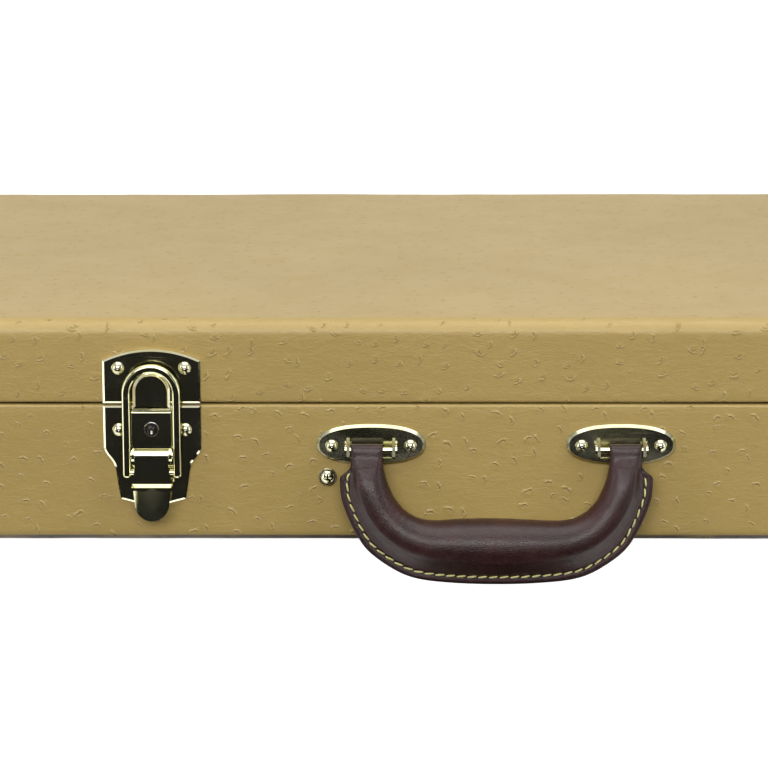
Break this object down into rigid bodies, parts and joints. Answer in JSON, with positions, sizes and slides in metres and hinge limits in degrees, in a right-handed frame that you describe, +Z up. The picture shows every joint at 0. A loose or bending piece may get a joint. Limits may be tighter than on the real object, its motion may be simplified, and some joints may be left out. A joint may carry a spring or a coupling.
{
  "type": "hard-shell guitar case",
  "caption": "Rectangular hard-shell case for a solid-body guitar with embossed vinyl covering, leather carry handle, plated draw latches with a key lock, and a plush-lined interior.",
  "frame": {"origin": "centre of the shell's underside, case lying flat with the lid closed", "axes": "+X along the case from the headstock end to the body end, -Y towards the handle side, +Z up through the lid"},
  "size_m": [1.04, 0.3854, 0.1201],
  "materials": {
    "vinyl": "satin embossed vinyl",
    "plywood": "matte",
    "rim_wood": "satin dark stain",
    "plush": "matte plush",
    "hardware": "polished plate",
    "hinge_metal": "satin plate",
    "lock_steel": "polished",
    "screw_metal": "satin",
    "washer_dark": "satin",
    "handle_leather": "satin",
    "handle_core": "matte",
    "strap_steel": "satin",
    "tape": "matte woven",
    "pull_leather": "satin"
  },
  "bodies": {
    "base": {"base_bottom_panel": "plywood", "base_frame": "plywood", "base_covering": "vinyl", "base_rim_strip": "rim_wood", "floor_pad": "plush", "body_surround_pad": "plush", "neck_rear_pad": "plush", "neck_front_pad": "plush", "headstock_surround_pad": "plush", "headstock_front_pad": "plush", "neck_cradle": "plush", "compartment_outer_partition": "plush", "compartment_inner_partition": "plush", "compartment_neck_wall": "plush", "compartment_floor_pad": "plush", "compartment_hinge_tape": "tape", "partition_screws": "screw_metal", "partition_cup_washers": "washer_dark", "handle_plates": "hardware", "handle_pins": "hardware", "handle_rivets": "hardware", "latch1_base_plate": "hardware", "latch2_base_plate": "hardware", "latch3_base_plate": "hardware", "latch4_base_plate": "hardware", "latch_lever_pins": "hardware", "latch_plate_rivets": "hardware", "hinge_base_leaves": "hinge_metal", "hinge_pins": "hinge_metal", "hinge_base_rivets": "hinge_metal", "base_spine_feet": "hardware"},
    "lid": {"lid_top_panel": "plywood", "lid_frame": "plywood", "lid_covering": "vinyl", "lid_pad": "plush", "lid_side_lining": "plush", "latch1_strike_plate": "hardware", "latch2_strike_plate": "hardware", "latch3_strike_plate": "hardware", "latch4_strike_plate": "hardware", "latch_strike_rivets": "hardware", "hinge_lid_leaves": "hinge_metal", "hinge_lid_rivets": "hinge_metal", "lid_spine_feet": "hardware"},
    "handle": {"handle_steel_strap": "strap_steel", "handle_core": "handle_core", "handle_leather": "handle_leather"},
    "cover": {"compartment_cover": "plush", "compartment_pull_tab": "pull_leather"},
    "lock": {"lock_plug": "lock_steel", "lock_cam": "lock_steel"},
    "lever1": {"latch1_lever": "hardware"},
    "bail1": {"latch1_bail": "hardware"},
    "lever2": {"latch2_lever": "hardware"},
    "bail2": {"latch2_bail": "hardware"},
    "lever3": {"latch3_lever": "hardware"},
    "bail3": {"latch3_bail": "hardware"},
    "lever4": {"latch4_lever": "hardware"},
    "bail4": {"latch4_bail": "hardware"}
  },
  "joints": [
    {"name": "lid_hinge", "type": "hinge", "parent": "base", "child": "lid", "pos_m": [0, 0.1794, 0.0652], "axis": [-1, 0, 0], "range_deg": [0, 105]},
    {"name": "handle_swing", "type": "hinge", "parent": "base", "child": "handle", "pos_m": [0.0384, -0.1814, 0.0449], "axis": [-1, 0, 0], "range_deg": [0, 160]},
    {"name": "compartment_cover_hinge", "type": "hinge", "parent": "base", "child": "cover", "pos_m": [-0.155, -0.04755, 0.0572], "axis": [-1, 0, 0], "range_deg": [0, 85]},
    {"name": "lock_turn", "type": "hinge", "parent": "base", "child": "lock", "pos_m": [-0.1189, -0.18, 0.0546], "axis": [0, -1, 0], "range_deg": [0, 90]},
    {"name": "latch1_lever_pivot", "type": "hinge", "parent": "base", "child": "lever1", "pos_m": [-0.42, -0.1817, 0.0426], "axis": [-1, 0, 0], "range_deg": [0, 135]},
    {"name": "latch1_bail_pivot", "type": "hinge", "parent": "lever1", "child": "bail1", "pos_m": [-0.42, -0.181, 0.0343], "axis": [-1, 0, 0], "range_deg": [-150, 0]},
    {"name": "latch2_lever_pivot", "type": "hinge", "parent": "base", "child": "lever2", "pos_m": [-0.1189, -0.1817, 0.0426], "axis": [-1, 0, 0], "range_deg": [0, 135]},
    {"name": "latch2_bail_pivot", "type": "hinge", "parent": "lever2", "child": "bail2", "pos_m": [-0.1189, -0.181, 0.0343], "axis": [-1, 0, 0], "range_deg": [-150, 0]},
    {"name": "latch3_lever_pivot", "type": "hinge", "parent": "base", "child": "lever3", "pos_m": [0.196, -0.1817, 0.0426], "axis": [-1, 0, 0], "range_deg": [0, 135]},
    {"name": "latch3_bail_pivot", "type": "hinge", "parent": "lever3", "child": "bail3", "pos_m": [0.196, -0.181, 0.0343], "axis": [-1, 0, 0], "range_deg": [-150, 0]},
    {"name": "latch4_lever_pivot", "type": "hinge", "parent": "base", "child": "lever4", "pos_m": [0.44, -0.1817, 0.0426], "axis": [-1, 0, 0], "range_deg": [0, 135]},
    {"name": "latch4_bail_pivot", "type": "hinge", "parent": "lever4", "child": "bail4", "pos_m": [0.44, -0.181, 0.0343], "axis": [-1, 0, 0], "range_deg": [-150, 0]}
  ],
  "couplings": [
    {"joint": "compartment_cover_hinge", "follows": "lid_hinge", "ratio": 0.8},
    {"joint": "latch1_bail_pivot", "follows": "latch1_lever_pivot", "ratio": -1.1},
    {"joint": "latch2_bail_pivot", "follows": "latch2_lever_pivot", "ratio": -1.1},
    {"joint": "latch3_bail_pivot", "follows": "latch3_lever_pivot", "ratio": -1.1},
    {"joint": "latch4_bail_pivot", "follows": "latch4_lever_pivot", "ratio": -1.1}
  ]
}
